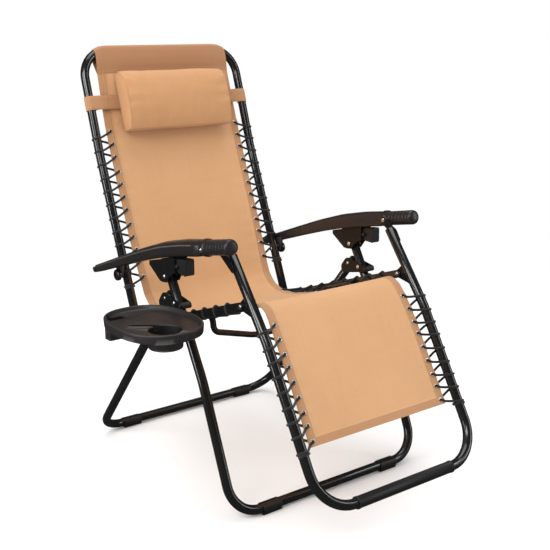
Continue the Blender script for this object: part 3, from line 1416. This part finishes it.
# seen along the back, (x, away from the sitter): out from the pillow, round the tube, back again
STRAP_PATH = [(0.1500, -0.0075), (0.1680, -0.0080), (0.2000, -0.0110), (0.2300, -0.0138)]
STRAP_PATH += [(X_BACK + STRAP_LOOP_R * math.cos(angle), -STRAP_LOOP_R * math.sin(angle))
               for angle in (math.radians(98 - 266 * k / 12) for k in range(13))]
STRAP_PATH += [(0.2385, -0.0070), (0.2330, -0.0110), (0.2200, -0.0112), (0.2050, -0.0100)]
# webbing section in half widths and half thicknesses
STRAP_SECTION = [(-1, 0.4), (-0.96, 1.0), (-0.5, 1.0), (0.0, 1.0), (0.5, 1.0), (0.96, 1.0),
                 (1, 0.4)]
STRAP_SECTION += [(width, -height) for width, height in reversed(STRAP_SECTION)]


def strap_webbing(side, sign):
    path = catmull([(x, out, 0) for x, out in STRAP_PATH], 4)
    verts, flat_uv = [], []
    for point, along, length in zip(path, tangents(path), running_length(path)):
        normal = Vector((-along.y, along.x, 0))
        for width, height in STRAP_SECTION:
            offset = point + normal * (STRAP_T * height)
            verts.append(STRAP_C + Vector((sign * offset.x, 0, 0)) + BACK_OUT * offset.y
                         + BACK_UP * (STRAP_W * width))
            flat_uv.append((STRAP_W * width, length))
    sides = len(STRAP_SECTION)
    faces = tube_faces(len(path), sides)
    uvs = [flat_uv[i] for face in faces[:-2] for i in face] + [(0, 0)] * (2 * sides)
    webbing = make(f"strap_{side}", verts, faces, [STRAP_CLOTH], uvs, sharp=50.0)
    face_outward(webbing)
    return webbing


def strap_sewing(side, sign):
    """Two rows of stitches across the strap, on its front."""
    verts, faces = [], []
    for x in (0.2100, 0.2180):
        points = [STRAP_C + Vector((sign * x, 0, 0)) + BACK_OUT * (-0.0130) + BACK_UP * up
                  for up in np.linspace(-0.0165, 0.0165, 12)]
        stitches(points, [-BACK_OUT] * 12, (verts, faces), radius=0.0005)
    uvs = [(0.0, 0.0)] * sum(len(face) for face in faces)
    return make(f"strap_sew_{side}", verts, faces, [THREAD], uvs)


for side, sign in SIDES:
    strap = join(f"pillow_elastic_{side}", [strap_webbing(side, sign), strap_sewing(side, sign)])
    finish_piece(strap, "pillow", "pillow_fabric", "pillow_strap_" + side)

# ------------------------------------------------------------------ side tray
TRAY_C, TRAY_HALF_X, TRAY_HALF_Y = (-0.4160, -0.1990), 0.0990, 0.1330
TRAY_TOP, TRAY_DEPTH = 0.4950, 0.0220
TRAY_POWER = 2 / 2.4           # superellipse exponent of the plan
CUP = (-0.4180, -0.2560)
# depths below are measured down from the tray top
# dish, underside to rim to floor: (inset from the plan outline, depth)
DISH = [(0.0110, TRAY_DEPTH), (0.0040, TRAY_DEPTH), (0.0022, TRAY_DEPTH - 0.0008),
        (0.0012, TRAY_DEPTH - 0.0030), (0.0002, 0.0060), (0.0000, 0.0026), (0.0006, 0.0010),
        (0.0018, 0.0001), (0.0034, 0.0), (0.0050, 0.0006), (0.0064, 0.0024), (0.0086, 0.0068),
        (0.0104, 0.0090), (0.0132, 0.0099), (0.0160, 0.0100)]
# cup well: (radius, depth)
CUP_OUTSIDE = [(0.0372, 0.0520), (0.0388, 0.0512), (0.0398, 0.0490), (0.0400, 0.0460),
               (0.0412, 0.0160)]
CUP_INSIDE = [(0.0340, 0.0495), (0.0362, 0.0485), (0.0368, 0.0460), (0.0372, 0.0140),
              (0.0380, 0.0115), (0.0398, 0.0100), (0.0410, 0.0085)]
# tapered slot that leads into the cup well, (x, y)
TAPER = [(-0.4255, -0.2205), (-0.4640, -0.1890), (-0.4690, -0.1760), (-0.4620, -0.1765),
         (-0.4400, -0.1900), (-0.4080, -0.2205)]
# insides of the two slots: x range, y range, depth of the lower limit
DARK_BOXES = [(-0.4855, -0.4425, -0.1193, -0.0967, 0.0560),
              (-0.4700, -0.4070, -0.2210, -0.1750, 0.0210)]


def stacked(outlines):
    """A bmesh solid through horizontal outlines: (list of (x, y), depth)."""
    solid = bmesh.new()
    rings = [[solid.verts.new((x, y, TRAY_TOP - depth)) for x, y in outline]
             for outline, depth in outlines]
    bridge(solid, rings)
    return solid


def oval(inset):
    """The tray's plan outline, drawn in by inset."""
    out = []
    for k in range(112):
        angle = 2 * math.pi * k / 112
        cos, sin = math.cos(angle), math.sin(angle)
        out.append((TRAY_C[0] + (TRAY_HALF_X - inset) * math.copysign(abs(cos) ** TRAY_POWER, cos),
                    TRAY_C[1] + (TRAY_HALF_Y - inset) * math.copysign(abs(sin) ** TRAY_POWER, sin)))
    return out


def circle(centre, radius, sides=72):
    angles = [2 * math.pi * k / sides for k in range(sides)]
    return [(centre[0] + radius * math.cos(angle), centre[1] + radius * math.sin(angle))
            for angle in angles]


def block(x0, x1, y0, y1, bottom, top, radius):
    """An upright rounded-corner block between two depths."""
    outline = []
    for x, y, first in ((x1 - radius, y1 - radius, 0), (x0 + radius, y1 - radius, 90),
                        (x0 + radius, y0 + radius, 180), (x1 - radius, y0 + radius, 270)):
        for k in range(6):
            angle = math.radians(first + 90 * k / 5)
            outline.append((x + radius * math.cos(angle), y + radius * math.sin(angle)))
    return stacked([(outline, bottom), (outline, top)])


def in_well(point):
    """Whether a point lies inside the cup well or one of the slots."""
    depth = TRAY_TOP - point.z
    if math.hypot(point.x - CUP[0], point.y - CUP[1]) < 0.0388 and 0.0122 < depth < 0.0500:
        return True
    return any(x0 < point.x < x1 and y0 < point.y < y1 and 0.0112 < depth < lowest
               for x0, x1, y0, y1, lowest in DARK_BOXES)


def side_tray():
    dish = stacked([(oval(inset), depth) for inset, depth in DISH])
    tray = from_bmesh("tray_dish", dish, TRAY_PLASTIC, sharp=40)
    boolean(tray, "UNION", stacked([(circle(CUP, r), depth) for r, depth in CUP_OUTSIDE]))
    boolean(tray, "UNION", block(-0.4880, -0.4400, -0.1215, -0.0945, bottom=0.0580, top=0.0160,
                                 radius=0.003))
    boolean(tray, "DIFFERENCE", stacked([(circle(CUP, r), depth) for r, depth in CUP_INSIDE]))
    boolean(tray, "DIFFERENCE", block(-0.4852, -0.4428, -0.1190, -0.0970, bottom=0.0555,
                                      top=-0.01, radius=0.0022))
    boolean(tray, "DIFFERENCE", stacked([(TAPER, 0.0205), (TAPER, -0.004)]))
    bevel = tray.modifiers.new("bevel", "BEVEL")
    bevel.width = 0.0007
    bevel.segments = 2
    bevel.limit_method = "ANGLE"
    bevel.angle_limit = math.radians(38)
    bevel.use_clamp_overlap = True
    bake(tray)
    smooth(tray.data, sharp=38)
    tray.data.materials.append(WELL_PLASTIC)
    dark = len(tray.data.materials) - 1
    for face in tray.data.polygons:
        if in_well(face.center):
            face.material_index = dark
    finish_piece(tray, "tray", "tray_plastic", "tray")


side_tray()


# ------------------------------------------------------------------ stage, light, camera
def studio_floor():
    """A pale floor that fades out with distance."""
    net = Material("studio_floor")
    coord = net.coord()
    color = net.mix(net.noise(coord, scale=2.0, detail=3.0), (0.90, 0.90, 0.90),
                    (0.93, 0.93, 0.93))
    net.set(Base_Color=color, Roughness=0.85, Specular_IOR_Level=0.15)
    x, y = net.split(coord)[:2]
    distance = net.math("SQRT", net.add(net.mul(x, x), net.mul(y, y)))
    net.set(Alpha=net.remap(distance, (1.2, 2.6), to=(1.0, 0.0)))
    solid = bmesh.new()
    for x, y in ((-3, -3), (3, -3), (3, 3), (-3, 3)):
        solid.verts.new((x, y, -0.0005))
    solid.faces.new(solid.verts)
    floor = from_bmesh("studio_floor", solid, net.material)
    if floor.data.polygons[0].normal.z < 0:
        floor.data.flip_normals()
    floor.visible_glossy = False


def studio_world():
    """White to the camera, a soft fill for light, and near black in reflections."""
    world = bpy.data.worlds.new("studio")
    net = Net(world)
    out = net.node("OutputWorld")
    rays = net.node("LightPath").outputs
    seen, fill, reflected = (net.node("Background", {0: (1, 1, 1), 1: strength}).outputs[0]
                             for strength in (1.0, 0.86, 0.045))
    unseen = net.node("MixShader", {0: rays["Is Glossy Ray"], 1: fill, 2: reflected}).outputs[0]
    mixed = net.node("MixShader", {0: rays["Is Camera Ray"], 1: unseen, 2: seen}).outputs[0]
    net.put(out.inputs[0], mixed)
    bpy.context.scene.world = world


def area(name, location, target, size, size_y, power):
    light = bpy.data.lights.new(name, "AREA")
    light.shape = "RECTANGLE"
    light.size = size
    light.size_y = size_y
    light.energy = power
    light.spread = math.pi
    lamp = new_object(name, light)
    lamp.location = location
    lamp.rotation_mode = "QUATERNION"
    aim = Vector(target) - Vector(location)
    lamp.rotation_quaternion = aim.to_track_quat("-Z", "Y")


def camera():
    data = bpy.data.cameras.new("camera")
    data.sensor_width = 36.0
    data.lens = 63.117818
    azimuth, elevation, roll = (math.radians(angle) for angle in (-36.98, 14.12, -0.466))
    forward = Vector((-math.sin(azimuth) * math.cos(elevation),
                      math.cos(azimuth) * math.cos(elevation), -math.sin(elevation)))
    right = Vector((math.cos(azimuth), math.sin(azimuth), 0))
    up = right.cross(forward)
    rolled_right = right * math.cos(roll) + up * math.sin(roll)
    rolled_up = -right * math.sin(roll) + up * math.cos(roll)
    matrix = Matrix((rolled_right, rolled_up, -forward)).transposed().to_4x4()
    matrix.translation = Vector((-1.4676, -2.0618, 1.1313))
    piece = new_object("camera", data)
    piece.matrix_world = matrix
    bpy.context.scene.camera = piece


studio_floor()
studio_world()
area("key_softbox", (-2.6, -1.6, 3.0), target=(0, 0, 0.5), size=2.0, size_y=1.4, power=62)
area("top_softbox", (0.3, 0.2, 3.6), target=(0, 0, 0.4), size=2.6, size_y=2.6, power=55)
area("left_strip", (-3.2, 0.3, 1.4), target=(0, 0, 0.6), size=0.55, size_y=2.6, power=50)
area("right_strip", (2.6, -2.4, 1.6), target=(0, 0, 0.6), size=0.50, size_y=2.6, power=26)
camera()
bpy.context.scene.view_settings.view_transform = "Standard"
bpy.context.scene.view_settings.look = "None"

# ------------------------------------------------------------------ into the row frame
kept = {piece.name for piece in NODES.values()}
for piece in list(bpy.data.objects):
    if piece.type == "MESH" and piece.name not in kept:
        piece.data.transform(Matrix.Translation(SHIFT))
        piece.data.update()
    elif piece.type in ("LIGHT", "CAMERA"):
        piece.location = piece.location + SHIFT
bpy.context.view_layer.update()
